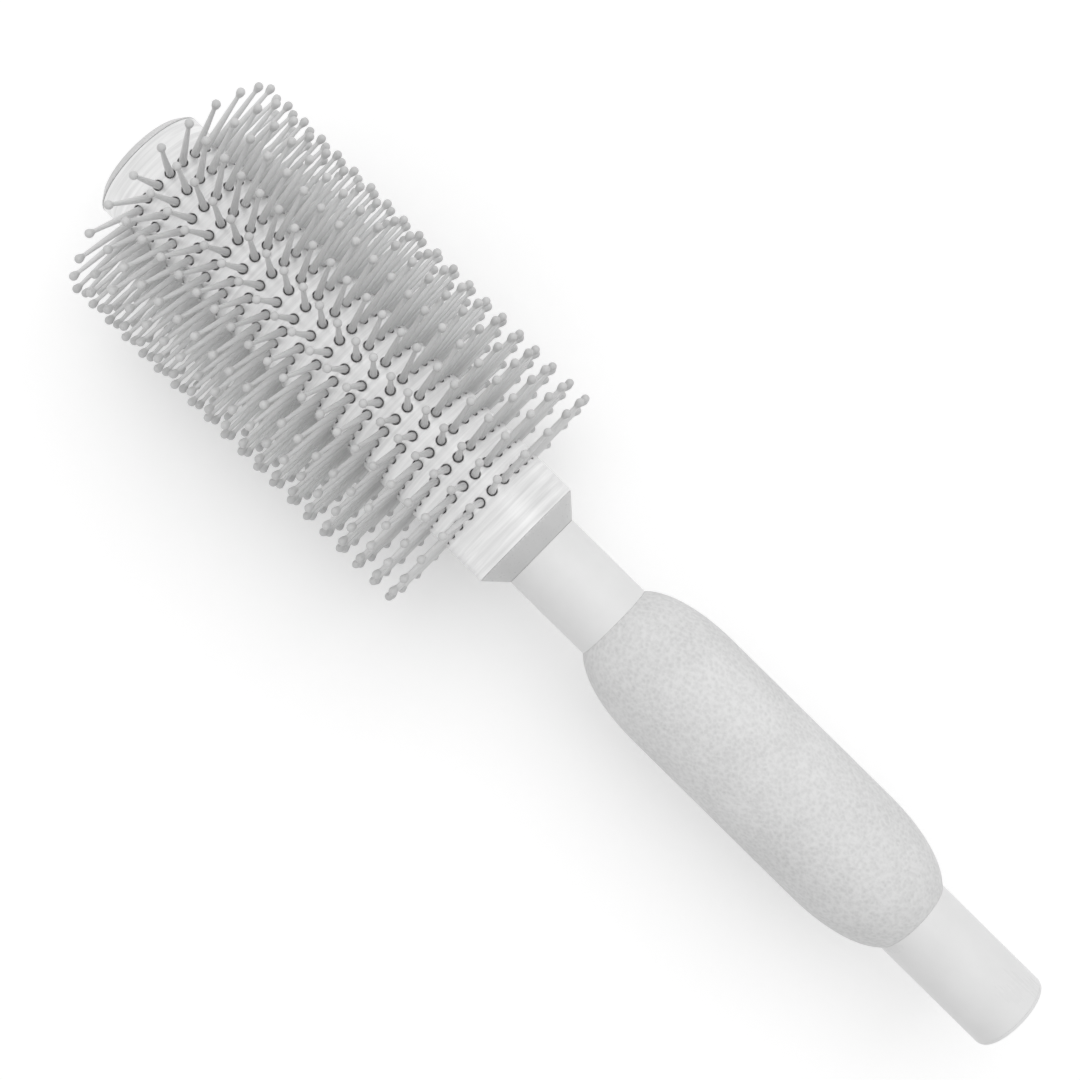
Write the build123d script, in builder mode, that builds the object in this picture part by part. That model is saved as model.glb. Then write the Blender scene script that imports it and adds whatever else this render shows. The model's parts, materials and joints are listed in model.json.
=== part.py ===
from build123d import *
import math
import os

# Round barrel brush. Its axis lies along X: the bristled head is on -X, the tail of the
# handle on +X, and the origin is on the axis, midway between the two end faces.

# Head, along the axis
barrel_length = 104.0
cap_bevel_length = 1.4
cap_land = 0.3
collar_length = 4.35

# Head, across the axis
barrel_diameter = 25.4
barrel_wall = 1.2
cap_bevel_depth = 1.8

# Handle
neck_length = 20.1
grip_length = 82.3
tail_length = 27.5
handle_diameter = 17.4
handle_wall = 1.5
grip_diameter = 27.9
grip_wall = 2.0
grip_shoulder = 19.6
grip_rise = 2.4
grip_crown = 11.6
grip_land = 10.0
grip_ribs = 8
grip_rib = 1.2
grip_seat_depth = 0.4

# Bristles: columns round the barrel, rings along it
column_count = 24
ring_count = 20
bristle_circle = 56.8
front_ring_margin = 7.4
back_ring_margin = 10.5
pin_root_diameter = 1.6
pin_neck_diameter = 0.8
ball_diameter = 1.75
ball_flare = 20
rail_height = 1.4
rail_side = 0.05

# Hub that the strips slide into
hub_wall = 1.2
hub_spokes = 6
hub_boss_diameter = 8.5

# Tie bolt, clamp plate, washer and nut
bolt_diameter = 5.0
bolt_head_diameter = 8.5
bolt_head_height = 2.6
bolt_socket = 3.0
bolt_socket_depth = 1.6
bolt_end = 1.5
plate_thickness = 1.2
nut_width = 8.0
nut_height = 4.0
washer_diameter = 10.0
washer_thickness = 1.0

# Plugs
cap_plug_depth = 4.0
cap_plug_wall = 1.4
collar_plug_depth = 6.0
collar_plug_wall = 2.0
collar_boss_diameter = 10.0
collar_floor = 1.4
collar_spigot_length = 12.0
tail_cap_thickness = 0.7
tail_cap_bevel = 0.25
tail_plug_depth = 8.0
tail_plug_wall = 1.4

# Clearances
slip_fit = 0.1
pin_clearance = 0.2
bolt_clearance = 0.25
thread_clearance = 0.08

# Stations along the axis
overall_length = (
    cap_bevel_length + cap_land + barrel_length + collar_length + neck_length + grip_length + tail_length
)
head_face = -overall_length / 2
barrel_front = head_face + cap_bevel_length + cap_land
barrel_back = barrel_front + barrel_length
collar_back = barrel_back + collar_length
grip_front = collar_back + neck_length
grip_back = grip_front + grip_length
tail_face = grip_back + tail_length
plate_front = barrel_front + cap_plug_depth
hub_front = plate_front + plate_thickness
hub_back = barrel_back - collar_plug_depth
hub_length = hub_back - hub_front
spigot_back = collar_back + collar_spigot_length
washer_back = spigot_back + washer_thickness
nut_back = washer_back + nut_height
tube_back = tail_face - tail_cap_thickness

# Radii
barrel_radius = barrel_diameter / 2
barrel_bore = barrel_radius - barrel_wall
plug_radius = barrel_bore - slip_fit
handle_radius = handle_diameter / 2
handle_bore = handle_radius - handle_wall
spigot_radius = handle_bore - slip_fit
grip_radius = grip_diameter / 2
grip_seat = handle_radius - grip_seat_depth
grip_bore = grip_seat + slip_fit
bolt_radius = bolt_diameter / 2
bolt_hole = bolt_radius + bolt_clearance

# Rings of bristles
first_ring = barrel_front + front_ring_margin
last_ring = barrel_back - back_ring_margin
ring_pitch = (last_ring - first_ring) / (ring_count - 1)
ring_places = [first_ring + ring * ring_pitch for ring in range(ring_count)]

# Columns of bristles: a gap between two columns faces each of +Y, +Z, -Y and -Z
column_pitch = 360 / column_count
column_angles = [(column + 0.5) * column_pitch for column in range(column_count)]
groove_depth = rail_height + slip_fit
groove_floor = plug_radius - groove_depth
rail_width = pin_root_diameter + 2 * rail_side
groove_width = rail_width + 2 * slip_fit
rail_floor = groove_floor + slip_fit
rail_front = hub_front + slip_fit
rail_length = hub_length - 2 * slip_fit

os.makedirs("parts", exist_ok=True)


def write(piece, name):
    """Labels a finished piece and writes it under its own name."""
    piece.label = name
    export_step(piece, f"parts/{name}.step")


# Bristle pin on +Z: a tapered shaft that flares into a round tip
tip_radius = ball_diameter / 2
tip_centre = bristle_circle / 2 - tip_radius
flare = math.radians(ball_flare)
flare_point = (tip_radius * math.cos(flare), tip_centre - tip_radius * math.sin(flare))
neck_radius = pin_neck_diameter / 2
neck_place = flare_point[1] - (flare_point[0] - neck_radius) / math.tan(flare)
root_place = rail_floor + rail_height / 2

with BuildPart() as pin:
    with BuildSketch(Plane.XZ):
        with BuildLine():
            Polyline(
                (0, root_place),
                (pin_root_diameter / 2, root_place),
                (pin_root_diameter / 2, barrel_radius),
                (neck_radius, neck_place),
                flare_point,
            )
            RadiusArc(flare_point, (0, tip_centre + tip_radius), -tip_radius, short_sagitta=True)
            Line((0, tip_centre + tip_radius), (0, root_place))
        make_face()
    revolve(axis=Axis.Z)

# One strip: a rail under the barrel's wall and a pin for each ring
with BuildPart() as top_strip:
    with BuildSketch(Plane.YZ.offset(rail_front)):
        Circle(plug_radius)
        with Locations((0, rail_floor)):
            Rectangle(
                rail_width, 2 * rail_height, align=(Align.CENTER, Align.MIN), mode=Mode.INTERSECT
            )
    extrude(amount=rail_length)
    with Locations(*[(place, 0, 0) for place in ring_places]):
        add(pin.part)

for number, angle in enumerate(column_angles, start=1):
    with BuildPart() as bristle_strip:
        add(top_strip.part, rotation=(-angle, 0, 0))
    write(bristle_strip.part, f"bristle_strip_{number:02d}")

# Barrel: a thin tube with a round hole for each pin
hole_places = [
    Plane(
        origin=(
            place,
            barrel_radius * math.sin(math.radians(angle)),
            barrel_radius * math.cos(math.radians(angle)),
        ),
        x_dir=(1, 0, 0),
        z_dir=(0, math.sin(math.radians(angle)), math.cos(math.radians(angle))),
    )
    for angle in column_angles
    for place in ring_places
]
with BuildPart() as barrel_tube:
    with BuildSketch(Plane.YZ.offset(barrel_front)):
        Circle(barrel_radius)
        Circle(barrel_bore, mode=Mode.SUBTRACT)
    extrude(amount=barrel_length)
    with Locations(*hole_places):
        Hole(radius=pin_root_diameter / 2 + pin_clearance, depth=barrel_wall + pin_clearance)
write(barrel_tube.part, "barrel_tube")

# Hub: an extruded spider with a groove for each rail
with BuildPart() as core_hub:
    with BuildSketch(Plane.YZ.offset(hub_front)):
        Circle(plug_radius)
        with PolarLocations(plug_radius, column_count, start_angle=column_pitch / 2):
            Rectangle(2 * groove_depth, groove_width, mode=Mode.SUBTRACT)
        Circle(groove_floor - hub_wall, mode=Mode.SUBTRACT)
        Circle(hub_boss_diameter / 2)
        with PolarLocations(0, hub_spokes):
            Rectangle(groove_floor - hub_wall / 2, hub_wall, align=(Align.MIN, Align.CENTER))
        Circle(bolt_hole, mode=Mode.SUBTRACT)
    extrude(amount=hub_length)
write(core_hub.part, "core_hub")

# End cap: a bevelled disc with a hollow plug that covers the head of the bolt
with BuildPart() as end_cap:
    with BuildSketch(Plane.XZ):
        with BuildLine():
            Polyline(
                (head_face, 0),
                (head_face, barrel_radius - cap_bevel_depth),
                (head_face + cap_bevel_length, barrel_radius),
                (barrel_front, barrel_radius),
                (barrel_front, plug_radius),
                (plate_front, plug_radius),
                (plate_front, plug_radius - cap_plug_wall),
                (barrel_front, plug_radius - cap_plug_wall),
                (barrel_front, 0),
                close=True,
            )
        make_face()
    revolve(axis=Axis.X)
write(end_cap.part, "end_cap")

# Clamp plate: spreads the pull of the bolt over the end of the hub
with BuildPart() as clamp_plate:
    with BuildSketch(Plane.YZ.offset(plate_front)):
        Circle(plug_radius)
        Circle(bolt_hole, mode=Mode.SUBTRACT)
    extrude(amount=plate_thickness)
write(clamp_plate.part, "clamp_plate")

# Tie bolt: runs from the clamp plate through the hub and the collar to its nut
with BuildPart() as tie_bolt:
    with BuildSketch(Plane.YZ.offset(plate_front - bolt_head_height)):
        Circle(bolt_head_diameter / 2)
        RegularPolygon(bolt_socket / 2, 6, major_radius=False, mode=Mode.SUBTRACT)
    extrude(amount=bolt_socket_depth)
    with BuildSketch(Plane.YZ.offset(plate_front - bolt_head_height + bolt_socket_depth)):
        Circle(bolt_head_diameter / 2)
    extrude(amount=bolt_head_height - bolt_socket_depth)
    with BuildSketch(Plane.YZ.offset(plate_front)):
        Circle(bolt_radius)
    extrude(amount=nut_back + bolt_end - plate_front)
write(tie_bolt.part, "tie_bolt")

# Collar: a cone from the barrel down to the handle, with a plug in each
pocket_floor = barrel_back - collar_floor
with BuildPart() as collar:
    with BuildSketch(Plane.XZ):
        with BuildLine():
            Polyline(
                (hub_back, bolt_hole),
                (hub_back, collar_boss_diameter / 2),
                (pocket_floor, collar_boss_diameter / 2),
                (pocket_floor, plug_radius - collar_plug_wall),
                (hub_back, plug_radius - collar_plug_wall),
                (hub_back, plug_radius),
                (barrel_back, plug_radius),
                (barrel_back, barrel_radius),
                (collar_back, handle_radius),
                (collar_back, spigot_radius),
                (spigot_back, spigot_radius),
                (spigot_back, bolt_hole),
                close=True,
            )
        make_face()
    revolve(axis=Axis.X)
write(collar.part, "collar")

# Washer and nut on the end of the collar's spigot, inside the handle
with BuildPart() as nut_washer:
    with BuildSketch(Plane.YZ.offset(spigot_back)):
        Circle(washer_diameter / 2)
        Circle(bolt_hole, mode=Mode.SUBTRACT)
    extrude(amount=washer_thickness)
write(nut_washer.part, "nut_washer")

with BuildPart() as hex_nut:
    with BuildSketch(Plane.YZ.offset(washer_back)):
        RegularPolygon(nut_width / 2, 6, major_radius=False)
        Circle(bolt_radius + thread_clearance, mode=Mode.SUBTRACT)
    extrude(amount=nut_height)
write(hex_nut.part, "hex_nut")

# Handle tube: one tube from the collar to the tail, with a shallow seat for the grip
with BuildPart() as handle_tube:
    with BuildSketch(Plane.XZ):
        with BuildLine():
            Polyline(
                (collar_back, handle_bore),
                (collar_back, handle_radius),
                (grip_front, handle_radius),
                (grip_front, grip_seat),
                (grip_back, grip_seat),
                (grip_back, handle_radius),
                (tube_back, handle_radius),
                (tube_back, handle_bore),
                close=True,
            )
        make_face()
    revolve(axis=Axis.X)
write(handle_tube.part, "handle_tube")

# Space inside the grip, between its outer wall and the tube, less the ribs
pocket_rise = grip_radius - grip_wall - grip_bore
with BuildPart() as grip_pockets:
    with BuildSketch(Plane.XZ):
        with BuildLine():
            Polyline(
                (grip_front + grip_land, grip_bore),
                (grip_front + grip_land + pocket_rise, grip_radius - grip_wall),
                (grip_back - grip_land - pocket_rise, grip_radius - grip_wall),
                (grip_back - grip_land, grip_bore),
                close=True,
            )
        make_face()
    revolve(axis=Axis.X)
    with BuildSketch(Plane.YZ.offset(grip_front)):
        with PolarLocations(0, grip_ribs):
            Rectangle(grip_radius, grip_rib, align=(Align.MIN, Align.CENTER))
    extrude(amount=grip_length, mode=Mode.SUBTRACT)

# Grip: a soft sleeve, straight in the middle, with a rounded shoulder at each end
with BuildPart() as grip_sleeve:
    with BuildSketch(Plane.XZ):
        with BuildLine():
            Line((grip_front, grip_bore), (grip_front, handle_radius))
            Bezier(
                (grip_front, handle_radius),
                (grip_front + grip_rise, handle_radius + grip_rise),
                (grip_front + grip_shoulder - grip_crown, grip_radius),
                (grip_front + grip_shoulder, grip_radius),
            )
            Line((grip_front + grip_shoulder, grip_radius), (grip_back - grip_shoulder, grip_radius))
            Bezier(
                (grip_back - grip_shoulder, grip_radius),
                (grip_back - grip_shoulder + grip_crown, grip_radius),
                (grip_back - grip_rise, handle_radius + grip_rise),
                (grip_back, handle_radius),
            )
            Line((grip_back, handle_radius), (grip_back, grip_bore))
            Line((grip_back, grip_bore), (grip_front, grip_bore))
        make_face()
    revolve(axis=Axis.X)
    add(grip_pockets.part, mode=Mode.SUBTRACT)
write(grip_sleeve.part, "grip_sleeve")

# Tail plug: closes the end of the handle tube
with BuildPart() as tail_plug:
    with BuildSketch(Plane.XZ):
        with BuildLine():
            Polyline(
                (tail_face, 0),
                (tail_face, handle_radius - tail_cap_bevel),
                (tube_back, handle_radius),
                (tube_back, spigot_radius),
                (tube_back - tail_plug_depth, spigot_radius),
                (tube_back - tail_plug_depth, spigot_radius - tail_plug_wall),
                (tube_back - tail_cap_thickness, spigot_radius - tail_plug_wall),
                (tube_back - tail_cap_thickness, 0),
                close=True,
            )
        make_face()
    revolve(axis=Axis.X)
write(tail_plug.part, "tail_plug")
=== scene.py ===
"""A round barrel brush lying on its bristles on a white floor, seen from straight above.

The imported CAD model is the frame. Its visible pieces are made again here as finer meshes in the
same places, with rounded edges, and every piece gets a procedural finish. Sizes are in metres,
and angles round the brush are in radians from +Z towards +Y.
"""
import json
import math
import random

import bpy
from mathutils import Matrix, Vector

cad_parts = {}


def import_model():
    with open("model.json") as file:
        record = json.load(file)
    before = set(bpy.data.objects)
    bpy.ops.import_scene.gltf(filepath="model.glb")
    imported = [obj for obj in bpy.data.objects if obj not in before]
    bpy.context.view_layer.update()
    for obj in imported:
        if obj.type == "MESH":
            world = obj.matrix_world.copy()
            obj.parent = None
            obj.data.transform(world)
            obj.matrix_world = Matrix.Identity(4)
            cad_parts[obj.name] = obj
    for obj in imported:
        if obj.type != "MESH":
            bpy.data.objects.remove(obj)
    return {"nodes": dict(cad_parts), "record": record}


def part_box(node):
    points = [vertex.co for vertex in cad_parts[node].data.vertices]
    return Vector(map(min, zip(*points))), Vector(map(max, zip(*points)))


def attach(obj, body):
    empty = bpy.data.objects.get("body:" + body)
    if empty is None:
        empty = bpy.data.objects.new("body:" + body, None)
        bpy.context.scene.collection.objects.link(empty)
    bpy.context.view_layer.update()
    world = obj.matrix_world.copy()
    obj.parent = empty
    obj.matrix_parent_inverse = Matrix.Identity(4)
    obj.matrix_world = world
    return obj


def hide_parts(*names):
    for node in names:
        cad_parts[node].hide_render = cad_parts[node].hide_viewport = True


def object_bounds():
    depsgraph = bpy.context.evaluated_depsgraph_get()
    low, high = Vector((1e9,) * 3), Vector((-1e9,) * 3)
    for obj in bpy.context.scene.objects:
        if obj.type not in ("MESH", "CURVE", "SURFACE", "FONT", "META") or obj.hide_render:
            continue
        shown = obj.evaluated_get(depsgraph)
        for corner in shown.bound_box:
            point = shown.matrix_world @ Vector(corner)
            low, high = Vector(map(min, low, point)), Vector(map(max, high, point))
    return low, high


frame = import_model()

cad_low, cad_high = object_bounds()
MM = 0.001
COLUMN_STEPS = 4  # mesh steps round the axis for each column of bristles
HOLE_SIDES = 4 * COLUMN_STEPS  # as many as there are steps round the four sides of its cell
POINT_MERGE = 1e-4 * MM  # points nearer than this are one

# Pins, and the rail that carries them
PIN_SIDES = 14
PIN_ROOT = 0.8 * MM
PIN_NECK = 0.4 * MM
BALL = 0.875 * MM
RAIL_WIDTH = 1.7 * MM
RAIL_HEIGHT = 1.4 * MM
RAIL_GAP = 0.04 * MM

# How far a moulded pin strays: the usual lean and bow, the most it is short, the smallest ball
SEED = 24
PIN_LEAN = math.radians(0.3)
PIN_BOW = 0.12 * MM
PIN_SHORT = 0.08 * MM
SMALLEST_BALL = 0.97
RAIL_TONE = 0.5  # between the darkest pin's 0 and the palest pin's 1

# Barrel holes, walls, fits, edges and mould lines
HOLE = 1.0 * MM
HOLE_LIP = 0.2 * MM
HANDLE_WALL = 1.5 * MM
GRIP_SEAT = 0.4 * MM
SLIP_FIT = 0.1 * MM
EDGE = 0.25 * MM
FINE_EDGE = 0.12 * MM
SEAM_HEIGHT = 0.05 * MM
SEAM_WIDTH = math.radians(0.7)


# ---------------------------------------------------------------- measures of the CAD model
def reach(node):
    """Where a round node starts and ends along X, and how far it stands from the axis."""
    low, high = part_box(node)
    return low[0], high[0], high[1]


def far_radius(vertex):
    """How far a vertex is from the axis."""
    return math.hypot(vertex.co.y, vertex.co.z)


def column_angle(node):
    """The angle that a bristle strip stands at."""
    vertices = frame["nodes"][node].data.vertices
    return math.atan2(sum(v.co.y for v in vertices), sum(v.co.z for v in vertices))


def ring_places(node):
    """Where the pins of a strip stand along X, and how far the tops of their balls reach."""
    vertices = frame["nodes"][node].data.vertices
    top = max(far_radius(v) for v in vertices)
    tips = sorted(v.co.x for v in vertices if far_radius(v) > top - BALL / 2)
    groups = [[tips[0]]]
    for x in tips[1:]:
        if x - groups[-1][-1] > BALL:
            groups.append([])
        groups[-1].append(x)
    return [(group[0] + group[-1]) / 2 for group in groups], top


STRIPS = sorted(n for n in frame["nodes"] if n.startswith("bristle_strip"))
RINGS, TIP_RADIUS = ring_places(STRIPS[0])
RING_PITCH = (RINGS[-1] - RINGS[0]) / (len(RINGS) - 1)
BARREL_FRONT, BARREL_BACK, BARREL_RADIUS = reach("barrel_tube")
CAP_FRONT, CAP_PLUG_BACK, _ = reach("end_cap")
COLLAR_PLUG_FRONT, COLLAR_SPIGOT_BACK, _ = reach("collar")
COLLAR_BACK, TUBE_BACK, HANDLE_RADIUS = reach("handle_tube")
GRIP_FRONT, GRIP_BACK, GRIP_RADIUS = reach("grip_sleeve")
TAIL_PLUG_FRONT, TAIL_BACK, _ = reach("tail_plug")
PLUG_RADIUS = reach("core_hub")[2]
BARREL_BORE = PLUG_RADIUS + SLIP_FIT
HANDLE_BORE = HANDLE_RADIUS - HANDLE_WALL
SPIGOT_RADIUS = HANDLE_BORE - SLIP_FIT
ROUND_STEPS = COLUMN_STEPS * len(STRIPS)
EVEN_ANGLES = [2 * math.pi * i / ROUND_STEPS for i in range(ROUND_STEPS)]


# ---------------------------------------------------------------- mesh helpers
def make_piece(name, vertices, faces, slot, node):
    """A smooth mesh that stands for a CAD node, in its slot's finish, and rides with the part."""
    mesh = bpy.data.meshes.new(name)
    mesh.from_pydata(vertices, [], faces)
    mesh.materials.append(FINISHES[slot])
    mesh.shade_smooth()
    piece = bpy.data.objects.new(name, mesh)
    bpy.context.scene.collection.objects.link(piece)
    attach(piece, "root")
    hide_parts(node)
    return piece


def tube_point(x, angle, radius):
    """The point at that place along the axis, angle round it and distance from it."""
    return x, radius * math.sin(angle), radius * math.cos(angle)


def soften(corners, radius, steps=4, closed=False):
    """Rounds the corners of an outline. A point beside each arc keeps long stretches flat."""
    longest = 0.4  # of a side that an arc may take
    beside = 1.2  # how far that point is from the corner, in lengths of the arc's side
    points = []
    count = len(corners)
    for i, corner in enumerate(corners):
        if not closed and i in (0, count - 1):
            points.append(corner)
            continue
        here = Vector(corner)
        before = Vector(corners[i - 1]) - here
        after = Vector(corners[(i + 1) % count]) - here
        back = before.normalized() * min(radius, before.length * longest)
        ahead = after.normalized() * min(radius, after.length * longest)
        points.append(tuple(here + back * beside))
        for step in range(steps + 1):
            t = step / steps
            points.append(tuple(here + back * (1 - t) ** 2 + ahead * t**2))
        points.append(tuple(here + ahead * beside))
    return points


def add_loop(vertices, points):
    """Adds a loop of points, and returns their numbers."""
    start = len(vertices)
    vertices.extend(points)
    return range(start, len(vertices))


def band(first, second):
    """Faces between two loops of points, which a loop of one point closes."""
    faces = []
    count = max(len(first), len(second))
    for i in range(count):
        j = (i + 1) % count
        if len(first) == 1:
            faces.append((second[i], second[j], first[0]))
        elif len(second) == 1:
            faces.append((second[0], first[j], first[i]))
        else:
            faces.append((second[i], second[j], first[j], first[i]))
    return faces


def lathe(outline, closed=False, angles=EVEN_ANGLES, lift=None):
    """Turns an outline of (x, radius) about X. Its outer side runs towards +X.

    lift(angle) adds to the radius.
    """
    vertices, rings = [], []
    for x, radius in outline:
        turns = angles[:1] if radius < POINT_MERGE else angles
        points = [tube_point(x, a, radius + (lift(a) if lift else 0)) for a in turns]
        rings.append(add_loop(vertices, points))
    pairs = list(zip(rings, rings[1:]))
    if closed:
        pairs.append((rings[-1], rings[0]))
    return vertices, [face for first, second in pairs for face in band(first, second)]


def seam_angles():
    """Even steps round the axis, with fine ones at the two mould lines, on +Y and -Y."""
    clear = 2 * SEAM_WIDTH
    angles = [angle for angle in EVEN_ANGLES if abs(math.cos(angle)) > clear]
    for middle in (math.pi / 2, 3 * math.pi / 2):
        angles += [middle + share * SEAM_WIDTH for share in (-1.0, -0.5, 0.0, 0.5, 1.0)]
    return sorted(angles)


def seam_lift(angle):
    """The height of the fine ridge where the two halves of a mould met."""
    return SEAM_HEIGHT * max(0.0, 1 - abs(math.cos(angle)) / SEAM_WIDTH)


# ---------------------------------------------------------------- material helpers
def plain(value):
    """A grey for a colour socket that isn't linked."""
    return value, value, value, 1


class Finish:
    """A node material, with short ways to add nodes that work in the part's own metres."""

    def __init__(self, name):
        self.material = bpy.data.materials.new(name)
        self.material.use_nodes = True
        self.tree = self.material.node_tree
        self.tree.nodes.clear()
        self.output = self.tree.nodes.new("ShaderNodeOutputMaterial")
        self.place = self.add("ShaderNodeTexCoord").outputs["Object"]

    def add(self, kind, inputs=None, **settings):
        """Adds a node. Each input is a value, or an output socket to link."""
        node = self.tree.nodes.new(kind)
        for key, value in settings.items():
            setattr(node, key, value)
        for key, value in (inputs or {}).items():
            if isinstance(value, bpy.types.NodeSocket):
                self.tree.links.new(value, node.inputs[key])
            else:
                node.inputs[key].default_value = value
        return node

    def math(self, operation, first, second):
        return self.add("ShaderNodeMath", {0: first, 1: second}, operation=operation).outputs[0]

    def sum(self, first, second):
        return self.math("ADD", first, second)

    def scaled(self, value, factor):
        return self.math("MULTIPLY", value, factor)

    def stretched(self, along, across):
        """Coordinates for a grain that is finer along the axis or across it."""
        inputs = {0: self.place, 1: (along, across, across)}
        return self.add("ShaderNodeVectorMath", inputs, operation="MULTIPLY").outputs[0]

    def length(self, vector):
        return self.add("ShaderNodeVectorMath", {0: vector}, operation="LENGTH").outputs["Value"]

    def distance(self):
        """Distance from the part's axis."""
        axes = self.add("ShaderNodeSeparateXYZ", {0: self.place}).outputs
        return self.length(self.add("ShaderNodeCombineXYZ", {1: axes[1], 2: axes[2]}).outputs[0])

    def noise(self, vector, scale=1.0, detail=3.0, rough=0.5):
        inputs = {"Vector": vector, "Scale": scale, "Detail": detail, "Roughness": rough}
        return self.add("ShaderNodeTexNoise", inputs).outputs[0]

    def span(self, value, low, high, start=0.0, end=1.0):
        """Maps value from start..end to low..high, without going past either."""
        inputs = {"Value": value, "From Min": start, "From Max": end, "To Min": low, "To Max": high}
        return self.add("ShaderNodeMapRange", inputs).outputs[0]

    def spread(self, noise, low, high):
        """Maps the values that a noise mostly has to low..high."""
        return self.span(noise, low, high, start=0.3, end=0.7)

    def grey(self, value):
        """A colour of that lightness, which varies over the surface."""
        return self.add("ShaderNodeCombineColor", {0: value, 1: value, 2: value}).outputs[0]

    def bump(self, height, depth, normal=None):
        """A bump whose full height is depth metres, on top of another one if normal is given."""
        inputs = {"Height": height, "Distance": depth, "Strength": 1.0}
        if normal:
            inputs["Normal"] = normal
        return self.add("ShaderNodeBump", inputs).outputs[0]

    def surface(self, inputs):
        """Finishes the material with one Principled shader."""
        shader = self.add("ShaderNodeBsdfPrincipled", inputs)
        self.tree.links.new(shader.outputs[0], self.output.inputs["Surface"])
        return self.material


# ---------------------------------------------------------------- finishes
def barrel_metal():
    """Satin aluminium: grain round the barrel from the lathe, and broader faint bands."""
    finish = Finish("barrel_metal")
    grain = finish.noise(finish.stretched(along=9000, across=220), detail=4, rough=0.6)
    streaks = finish.noise(finish.stretched(along=1400, across=60))
    cloud = finish.noise(finish.place, scale=70, detail=2)
    tone = finish.sum(
        finish.spread(streaks, low=0.70, high=0.86),
        finish.span(cloud, low=-0.03, high=0.03),
    )
    rough = finish.sum(
        finish.spread(grain, low=0.28, high=0.44),
        finish.span(cloud, low=-0.04, high=0.04),
    )
    return finish.surface(
        {
            "Base Color": finish.grey(tone),
            "Metallic": 1.0,
            "Roughness": rough,
            "Normal": finish.bump(grain, depth=0.004 * MM),
        }
    )


def bristle_nylon():
    """Moulded nylon pins with slightly darker, smoother dipped balls, and painted shade towards
    their roots.
    """
    finish = Finish("bristle_nylon")
    dip_start, dip_end = TIP_RADIUS - 2.6 * BALL, TIP_RADIUS - 2.1 * BALL
    dip_darker, dip_smoother = -0.14, -0.14
    # Painted shade: the pins get darker towards the barrel, where they stand close together.
    painted_shade_height = 6 * MM
    far = finish.distance()
    ball = finish.span(far, low=0.0, high=1.0, start=dip_start, end=dip_end)
    painted_root_shade = finish.span(
        far, low=-0.06, high=0.0, start=BARREL_RADIUS, end=BARREL_RADIUS + painted_shade_height
    )
    own = finish.add("ShaderNodeAttribute", attribute_name="tone").outputs["Fac"]
    cloud = finish.noise(finish.place, scale=900)
    tone = finish.sum(
        finish.span(own, low=0.70, high=0.78),
        finish.span(cloud, low=-0.03, high=0.03),
    )
    tone = finish.sum(tone, painted_root_shade)
    tone = finish.sum(tone, finish.scaled(ball, dip_darker))
    rough = finish.sum(finish.span(cloud, low=0.36, high=0.5), finish.scaled(ball, dip_smoother))
    return finish.surface(
        {
            "Base Color": finish.grey(tone),
            "Roughness": rough,
            "IOR": 1.53,
            "Normal": finish.bump(cloud, depth=0.01 * MM),
        }
    )


def trim_plastic():
    """Pale grey moulded plastic of the cap and the collar: fine turned rings and a worn rim."""
    finish = Finish("trim_plastic")
    rings_per_metre = 9000
    rim_start, rim_end = BARREL_RADIUS - 0.7 * MM, BARREL_RADIUS - 0.1 * MM
    far = finish.distance()
    ring_place = finish.add("ShaderNodeCombineXYZ", {0: finish.scaled(far, rings_per_metre)})
    rings = finish.noise(ring_place.outputs[0], detail=2)
    peel = finish.noise(finish.place, scale=1600, detail=2)
    cloud = finish.noise(finish.place, scale=120)
    scuffs = finish.noise(finish.stretched(along=500, across=1800), detail=5, rough=0.65)
    rim = finish.span(far, low=0.0, high=1.0, start=rim_start, end=rim_end)
    wear = finish.scaled(rim, finish.span(scuffs, low=0.0, high=0.09, start=0.45, end=0.6))
    tone = finish.sum(finish.spread(cloud, low=0.58, high=0.64), wear)
    return finish.surface(
        {
            "Base Color": finish.grey(tone),
            "Roughness": finish.spread(peel, low=0.26, high=0.40),
            "IOR": 1.5,
            "Normal": finish.bump(
                peel, depth=0.008 * MM, normal=finish.bump(rings, depth=0.004 * MM)
            ),
        }
    )


def handle_plastic():
    """Near-white satin plastic: orange peel, faint drawing lines and a little handling haze."""
    finish = Finish("handle_plastic")
    peel = finish.noise(finish.place, scale=700, detail=2)
    lines = finish.noise(finish.stretched(along=120, across=5200))
    cloud = finish.noise(finish.place, scale=55, detail=4, rough=0.6)
    rough = finish.sum(
        finish.spread(cloud, low=0.26, high=0.42),
        finish.span(lines, low=-0.05, high=0.05),
    )
    return finish.surface(
        {
            "Base Color": finish.grey(finish.spread(cloud, low=0.78, high=0.84)),
            "Roughness": rough,
            "IOR": 1.5,
            "Normal": finish.bump(
                peel, depth=0.012 * MM, normal=finish.bump(lines, depth=0.003 * MM)
            ),
        }
    )


def grip_rubber():
    """Pale soft-touch rubber with a fine spark-eroded stipple, polished in patches by the hand."""
    finish = Finish("grip_rubber")
    pits_per_metre, pit_share = 1100.0, 0.6
    stipple = finish.noise(finish.place, scale=1500, detail=4, rough=0.6)
    cells = {"Vector": finish.place, "Scale": pits_per_metre}
    pits = finish.add("ShaderNodeTexVoronoi", cells, feature="F1").outputs["Distance"]
    cloud = finish.noise(finish.place, scale=60, detail=4, rough=0.6)
    grain = finish.sum(stipple, finish.scaled(pits, pit_share))
    tone = finish.sum(
        finish.spread(cloud, low=0.68, high=0.75),
        finish.span(grain, low=-0.06, high=0.06, start=0.45, end=1.0),
    )
    return finish.surface(
        {
            "Base Color": finish.grey(tone),
            "Roughness": finish.span(cloud, low=0.74, high=0.56, start=0.35, end=0.65),
            "IOR": 1.48,
            "Sheen Weight": 0.12,
            "Sheen Roughness": 0.4,
            "Normal": finish.bump(grain, depth=0.12 * MM),
        }
    )


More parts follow.
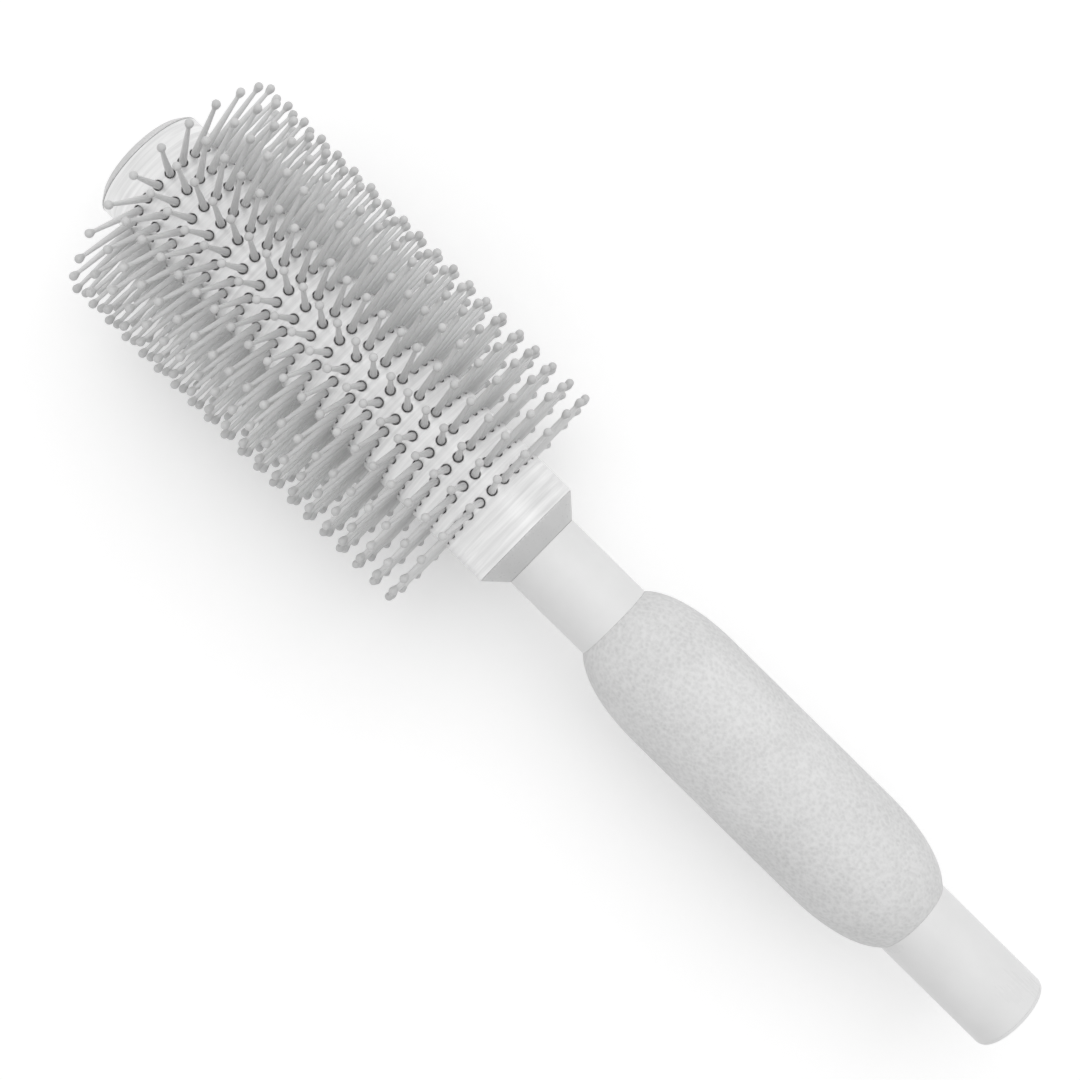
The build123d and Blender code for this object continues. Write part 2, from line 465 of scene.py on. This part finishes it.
def hub_plastic():
    """Darker extruded plastic inside the barrel, with lines along the extrusion."""
    finish = Finish("hub_plastic")
    lines = finish.noise(finish.stretched(along=60, across=6000))
    return finish.surface(
        {
            "Base Color": finish.grey(finish.span(lines, low=0.22, high=0.30)),
            "Roughness": finish.span(lines, low=0.4, high=0.6),
            "Normal": finish.bump(lines, depth=0.01 * MM),
        }
    )


def fastener_steel():
    """Turned steel of the bolt, its nut, washer and clamp plate."""
    finish = Finish("fastener_steel")
    rings = finish.noise(finish.stretched(along=8000, across=100))
    return finish.surface(
        {
            "Base Color": finish.grey(finish.span(rings, low=0.52, high=0.62)),
            "Metallic": 1.0,
            "Roughness": finish.span(rings, low=0.25, high=0.42),
            "Normal": finish.bump(rings, depth=0.005 * MM),
        }
    )


FINISHES = {
    "barrel_metal": barrel_metal(),
    "bristle_nylon": bristle_nylon(),
    "trim_plastic": trim_plastic(),
    "handle_plastic": handle_plastic(),
    "grip_rubber": grip_rubber(),
    "hub_plastic": hub_plastic(),
    "fastener_steel": fastener_steel(),
}


def dress_cad_nodes():
    """Gives every CAD node its slot's finish, those that a finer piece replaces included."""
    for subpart in frame["record"]["subparts"]:
        mesh = frame["nodes"][subpart["node"]].data
        mesh.materials.clear()
        mesh.materials.append(FINISHES[subpart["material_slot"]])


# ---------------------------------------------------------------- barrel
class Patchwork:
    """A mesh on the barrel's tube, where patches that meet share their points."""

    def __init__(self):
        self.vertices, self.faces, self.known = [], [], {}

    def loop(self, places, radius):
        """Points at (x, angle) places, at one distance from the axis."""
        indices = []
        for x, angle in places:
            point = tube_point(x, angle, radius)
            key = tuple(round(value / POINT_MERGE) for value in point)
            if key not in self.known:
                self.known[key] = len(self.vertices)
                self.vertices.append(point)
            indices.append(self.known[key])
        return indices

    def skin(self, loops):
        """Faces from each loop to the next."""
        for first, second in zip(loops, loops[1:]):
            self.faces += band(first, second)


def cell_border(x, angle, half_length, half_turn):
    """Places round the edge of a hole's cell, from its corner of least x and angle."""
    places = []
    for side in range(4):
        for i in range(COLUMN_STEPS):
            t = 2 * i / COLUMN_STEPS - 1
            u, v = ((-1, t), (t, 1), (1, -t), (-t, -1))[side]
            places.append((x + u * half_length, angle + v * half_turn))
    return places


def hole_circle(x, angle, radius):
    """Places round a hole, which start and turn as the border of its cell does."""
    turns = [math.pi / 4 - 2 * math.pi * i / HOLE_SIDES for i in range(HOLE_SIDES)]
    return [
        (x - radius * math.cos(turn), angle - radius * math.sin(turn) / BARREL_RADIUS)
        for turn in turns
    ]


def barrel_shell():
    """The perforated tube: a cell with a rounded hole for each pin, and plain rings at the ends."""
    tube = Patchwork()
    half_length = RING_PITCH / 2
    half_turn = math.pi / len(STRIPS)
    lip_steps = 4
    lip = [(2.0, 0.0)]  # how far out from the hole and down, in sizes of the lip
    for i in range(lip_steps + 1):
        turn = math.pi / 2 * i / lip_steps
        lip.append((1 - math.sin(turn), 1 - math.cos(turn)))
    for column in range(len(STRIPS)):
        angle = (2 * column + 1) * half_turn
        for x in RINGS:
            border = cell_border(x, angle, half_length, half_turn)
            loops = [tube.loop(border, BARREL_RADIUS)]
            for out, down in lip:
                circle = hole_circle(x, angle, HOLE + out * HOLE_LIP)
                loops.append(tube.loop(circle, BARREL_RADIUS - down * HOLE_LIP))
            loops.append(tube.loop(hole_circle(x, angle, HOLE), BARREL_BORE))
            loops.append(tube.loop(border, BARREL_BORE))
            tube.skin(loops)

    front_near, back_near = RINGS[0] - half_length, RINGS[-1] + half_length
    for end, near in ((BARREL_FRONT, front_near), (BARREL_BACK, back_near)):
        corners = [
            (near, BARREL_RADIUS),
            (end, BARREL_RADIUS),
            (end, BARREL_BORE),
            (near, BARREL_BORE),
        ]
        outline = soften(corners if end > near else corners[::-1], EDGE)
        tube.skin([tube.loop([(x, a) for a in EVEN_ANGLES], radius) for x, radius in outline])
    make_piece("barrel_shell", tube.vertices, tube.faces, "barrel_metal", "barrel_tube")


# ---------------------------------------------------------------- bristles
def pin_outline():
    """Height from the axis and radius of a pin, from its foot to the ring under its tip."""
    foot = PLUG_RADIUS - 0.4 * MM
    taper_start, taper_end = BARREL_RADIUS - 0.3 * MM, BARREL_RADIUS + 0.2 * MM
    shaft_root = 0.97 * PIN_ROOT
    centre = TIP_RADIUS - BALL
    neck = centre - 1.7 * BALL
    ball_start = math.radians(-20)
    ball_place = centre + BALL * math.sin(ball_start)
    ball_edge = BALL * math.cos(ball_start)
    shaft_steps, flare_steps, ball_steps = 5, 3, 6

    points = [(foot, PIN_ROOT), (taper_start, PIN_ROOT), (taper_end, shaft_root)]
    for i in range(1, shaft_steps + 1):
        t = i / shaft_steps
        height = BARREL_RADIUS + t * (neck - BARREL_RADIUS)
        points.append((height, shaft_root + t * (PIN_NECK - shaft_root)))
    for i in range(1, flare_steps):
        t = i / flare_steps
        ease = t * t * (3 - 2 * t)  # from 0 to 1, slow at both ends
        height = neck + t * (ball_place - neck)
        points.append((height, PIN_NECK + ease * (ball_edge - PIN_NECK)))
    for i in range(ball_steps):
        turn = ball_start + (math.pi / 2 - ball_start) * i / ball_steps
        points.append((centre + BALL * math.sin(turn), BALL * math.cos(turn)))
    return points


def add_pin(vertices, faces, x, outline, lean, bow, short, ball_size):
    """One pin on +Z. lean and bow are along X and Y, and short is how much it is too short."""
    ball_share = 0.8  # of the way up, past which a wide ring is part of the ball
    wide = 1.5 * PIN_NECK
    rings = []
    for height, radius in outline + [(TIP_RADIUS, 0.0)]:
        up = max(0.0, height - BARREL_RADIUS)
        share = up / (TIP_RADIUS - BARREL_RADIUS)
        side = [lean[k] * up + bow[k] * share * share for k in (0, 1)]
        cx, cy, z = x + side[0], side[1], height - short * share
        if radius > wide and share > ball_share:
            radius *= ball_size
        points = []
        for i in range(PIN_SIDES if radius else 1):
            turn = 2 * math.pi * i / PIN_SIDES
            points.append((cx + radius * math.cos(turn), cy + radius * math.sin(turn), z))
        rings.append(add_loop(vertices, points))
    for below, above in zip(rings, rings[1:]):
        faces += band(above, below)
    faces.append(tuple(reversed(rings[0])))


def add_rail(vertices, faces, low, high):
    """The rail that carries the pins, inside the barrel, with its edges rounded."""
    half, top, bottom = RAIL_WIDTH / 2, PLUG_RADIUS - RAIL_GAP, PLUG_RADIUS - RAIL_HEIGHT
    corners = [(-half, bottom), (half, bottom), (half, top), (-half, top)]
    section = soften(corners, EDGE, steps=3, closed=True)
    front, back = (add_loop(vertices, [(x, y, z) for y, z in section]) for x in (low, high))
    faces += band(back, front)
    faces.append(tuple(reversed(front)))
    faces.append(tuple(back))


def bristle_strips():
    """Every strip: its rail, and its pins, each a little off straight as moulded pins are."""
    chance = random.Random(SEED)
    outline = pin_outline()
    for node in STRIPS:
        low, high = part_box(node)
        vertices, faces = [], []
        add_rail(vertices, faces, low[0], high[0])
        tones = [RAIL_TONE] * len(vertices)
        for x in RINGS:
            lean = [chance.gauss(0, PIN_LEAN) for _ in range(2)]
            bow = [chance.gauss(0, PIN_BOW) for _ in range(2)]
            short = chance.uniform(0, PIN_SHORT)
            ball_size = chance.uniform(SMALLEST_BALL, 1.0)
            add_pin(vertices, faces, x, outline, lean, bow, short, ball_size)
            tones += [chance.uniform(0, 1)] * (len(vertices) - len(tones))
        turn = column_angle(node)
        c, s = math.cos(turn), math.sin(turn)
        vertices = [(x, y * c + z * s, z * c - y * s) for x, y, z in vertices]
        name = node.replace("bristle_strip", "bristle_row")
        piece = make_piece(name, vertices, faces, "bristle_nylon", node)
        tone = piece.data.attributes.new("tone", "FLOAT", "POINT")
        tone.data.foreach_set("value", tones)


# ---------------------------------------------------------------- cap and collar
def end_cap_shell():
    """The bevelled cap, with a gate mark in the middle of its face."""
    gate, gate_depth = 0.9 * MM, 0.18 * MM
    gate_floor = 0.7 * gate
    bevel = 1.4 * MM
    face = BARREL_RADIUS - 1.8 * MM
    bore = PLUG_RADIUS - 1.4 * MM
    corners = [
        (CAP_FRONT + gate_depth, 0.0),
        (CAP_FRONT + gate_depth, gate_floor),
        (CAP_FRONT, gate),
        (CAP_FRONT, face),
        (CAP_FRONT + bevel, BARREL_RADIUS),
        (BARREL_FRONT, BARREL_RADIUS),
        (BARREL_FRONT, PLUG_RADIUS),
        (CAP_PLUG_BACK, PLUG_RADIUS),
        (CAP_PLUG_BACK, bore),
        (BARREL_FRONT, bore),
        (BARREL_FRONT, 0.0),
    ]
    make_piece("end_cap_shell", *lathe(soften(corners, EDGE)), "trim_plastic", "end_cap")


def collar_shell():
    """The cone between the barrel and the handle, with its plug and its spigot."""
    bolt_hole = 2.75 * MM
    boss = 5.0 * MM
    bore = PLUG_RADIUS - 2.0 * MM
    pocket = BARREL_BACK - 1.4 * MM
    corners = [
        (COLLAR_PLUG_FRONT, bolt_hole),
        (COLLAR_PLUG_FRONT, boss),
        (pocket, boss),
        (pocket, bore),
        (COLLAR_PLUG_FRONT, bore),
        (COLLAR_PLUG_FRONT, PLUG_RADIUS),
        (BARREL_BACK, PLUG_RADIUS),
        (BARREL_BACK, BARREL_RADIUS),
        (COLLAR_BACK, HANDLE_RADIUS),
        (COLLAR_BACK, SPIGOT_RADIUS),
        (COLLAR_SPIGOT_BACK, SPIGOT_RADIUS),
        (COLLAR_SPIGOT_BACK, bolt_hole),
    ]
    mesh = lathe(soften(corners, EDGE, closed=True), closed=True)
    make_piece("collar_shell", *mesh, "trim_plastic", "collar")


# ---------------------------------------------------------------- handle
def handle_shell():
    """The tube from the collar to the tail, with the seat that the grip lies in."""
    seat = HANDLE_RADIUS - GRIP_SEAT
    corners = [
        (COLLAR_BACK, HANDLE_BORE),
        (COLLAR_BACK, HANDLE_RADIUS),
        (GRIP_FRONT, HANDLE_RADIUS),
        (GRIP_FRONT, seat),
        (GRIP_BACK, seat),
        (GRIP_BACK, HANDLE_RADIUS),
        (TUBE_BACK, HANDLE_RADIUS),
        (TUBE_BACK, HANDLE_BORE),
    ]
    mesh = lathe(soften(corners, FINE_EDGE, closed=True), closed=True)
    make_piece("handle_shell", *mesh, "handle_plastic", "handle_tube")


def shoulder(start, way):
    """The grip's outline from its end to its straight middle, along one Bezier curve."""
    length, rise, crown = 19.6 * MM, 2.4 * MM, 11.6 * MM
    control = [
        (0.0, HANDLE_RADIUS),
        (rise, HANDLE_RADIUS + rise),
        (length - crown, GRIP_RADIUS),
        (length, GRIP_RADIUS),
    ]
    steps = 28
    points = []
    for i in range(steps + 1):
        t = i / steps
        weights = ((1 - t) ** 3, 3 * t * (1 - t) ** 2, 3 * t * t * (1 - t), t**3)
        x, radius = (sum(w * p[k] for w, p in zip(weights, control)) for k in (0, 1))
        points.append((start + way * x, radius))
    return points


def grip_shell():
    """The soft grip, with a rolled edge at each end and a fine mould line along both sides."""
    bore = HANDLE_RADIUS - GRIP_SEAT + SLIP_FIT
    rolled = 3  # the place in a shoulder's points that its rolled edge runs to
    middle_steps = 12
    front, back = shoulder(GRIP_FRONT, 1), shoulder(GRIP_BACK, -1)
    edge_front = soften([(GRIP_FRONT, bore), front[0], front[rolled]], EDGE)
    edge_back = soften([back[rolled], back[0], (GRIP_BACK, bore)], EDGE)
    start, length = front[-1][0], back[-1][0] - front[-1][0]
    middle = [(start + length * i / middle_steps, GRIP_RADIUS) for i in range(1, middle_steps)]
    outline = edge_front + front[rolled + 1:] + middle + back[:rolled:-1] + edge_back
    mesh = lathe(outline, closed=True, angles=seam_angles(), lift=seam_lift)
    make_piece("grip_shell", *mesh, "grip_rubber", "grip_sleeve")


def tail_cap_shell():
    """The plug that closes the tail, with its small bevel."""
    bevel = 0.25 * MM
    bore = SPIGOT_RADIUS - 1.4 * MM
    plug_floor = TUBE_BACK - 0.7 * MM
    corners = [
        (plug_floor, 0.0),
        (plug_floor, bore),
        (TAIL_PLUG_FRONT, bore),
        (TAIL_PLUG_FRONT, SPIGOT_RADIUS),
        (TUBE_BACK, SPIGOT_RADIUS),
        (TUBE_BACK, HANDLE_RADIUS),
        (TAIL_BACK, HANDLE_RADIUS - bevel),
        (TAIL_BACK, 0.0),
    ]
    mesh = lathe(soften(corners, FINE_EDGE))
    make_piece("tail_cap_shell", *mesh, "handle_plastic", "tail_plug")


# ---------------------------------------------------------------- floor, light, camera
def seen_rays(tree):
    """1 for a ray from the camera, or one that a mirror or glass sends on, and 0 for others."""
    path = tree.nodes.new("ShaderNodeLightPath")
    seen = path.outputs["Is Camera Ray"]
    for name in ("Is Glossy Ray", "Is Transmission Ray"):
        either = tree.nodes.new("ShaderNodeMath")
        either.operation = "MAXIMUM"
        tree.links.new(seen, either.inputs[0])
        tree.links.new(path.outputs[name], either.inputs[1])
        seen = either.outputs[0]
    return seen


def floor():
    """A plain white floor under the bristles. It keeps the shadow, and is pure white farther off.

    To the light that it throws back on the brush it is a plain matt grey.
    """
    half = 4.0
    fade_start, fade_end = 0.17, 0.45
    matt_grey, near_grey, near_glow, far_glow = 0.8, 0.95, 0.18, 1.0
    z = cad_low.z
    corners = [(-half, -half, z), (half, -half, z), (half, half, z), (-half, half, z)]
    mesh = bpy.data.meshes.new("floor")
    mesh.from_pydata(corners, [], [(0, 1, 2, 3)])
    plane = bpy.data.objects.new("floor", mesh)
    bpy.context.scene.collection.objects.link(plane)

    finish = Finish("floor_white")
    matt = finish.add("ShaderNodeBsdfDiffuse", {"Color": plain(matt_grey)}).outputs[0]
    bright = finish.add("ShaderNodeBsdfDiffuse", {"Color": plain(near_grey)}).outputs[0]
    glow, white = (
        finish.add("ShaderNodeEmission", {"Color": plain(1), "Strength": strength}).outputs[0]
        for strength in (near_glow, far_glow)
    )
    near = finish.add("ShaderNodeAddShader", {0: bright, 1: glow}).outputs[0]
    away = finish.length(finish.place)
    fade = finish.span(away, low=0.0, high=1.0, start=fade_start, end=fade_end)
    seen = finish.add("ShaderNodeMixShader", {0: fade, 1: near, 2: white}).outputs[0]
    mix = finish.add("ShaderNodeMixShader", {0: seen_rays(finish.tree), 1: matt, 2: seen})
    finish.tree.links.new(mix.outputs[0], finish.output.inputs["Surface"])
    mesh.materials.append(finish.material)


def world():
    """Even white light from all round, and a white background."""
    light, white = 0.65, 1.0
    studio = bpy.data.worlds.new("studio")
    studio.use_nodes = True
    tree = studio.node_tree
    tree.nodes.clear()
    mix = tree.nodes.new("ShaderNodeMixShader")
    tree.links.new(seen_rays(tree), mix.inputs[0])
    for slot, strength in ((1, light), (2, white)):
        background = tree.nodes.new("ShaderNodeBackground")
        background.inputs["Color"].default_value = plain(1)
        background.inputs["Strength"].default_value = strength
        tree.links.new(background.outputs[0], mix.inputs[slot])
    output = tree.nodes.new("ShaderNodeOutputWorld")
    tree.links.new(mix.outputs[0], output.inputs["Surface"])
    bpy.context.scene.world = studio


def softbox(name, place, size, power, in_reflections):
    """A square lamp that faces the part."""
    light = bpy.data.lights.new(name, "AREA")
    light.size = size
    light.energy = power
    lamp = bpy.data.objects.new(name, light)
    lamp.location = place
    lamp.rotation_euler = (-Vector(place)).to_track_quat("-Z", "Y").to_euler()
    lamp.visible_glossy = in_reflections
    bpy.context.scene.collection.objects.link(lamp)


def camera():
    """Straight above the collar, with the brush turned 45 degrees across the picture."""
    view_angle = math.radians(35)
    place = (-11.65 * MM, 1.35 * MM, 338.6 * MM)
    turn = math.radians(44.6)
    lens = bpy.data.cameras.new("camera")
    lens.sensor_width = 36.0
    lens.lens = lens.sensor_width / 2 / math.tan(view_angle / 2)
    view = bpy.data.objects.new("camera", lens)
    view.location = place
    view.rotation_euler = (0, 0, turn)
    bpy.context.scene.collection.objects.link(view)
    bpy.context.scene.camera = view


dress_cad_nodes()
barrel_shell()
bristle_strips()
end_cap_shell()
collar_shell()
handle_shell()
grip_shell()
tail_cap_shell()
floor()
world()
softbox("key", place=(-0.3, 0.6, 1.4), size=1.6, power=9.2, in_reflections=False)
softbox("glint", place=(0.2, 0.5, 1.2), size=0.9, power=0.4, in_reflections=True)
camera()
bpy.context.scene.view_settings.view_transform = "Standard"
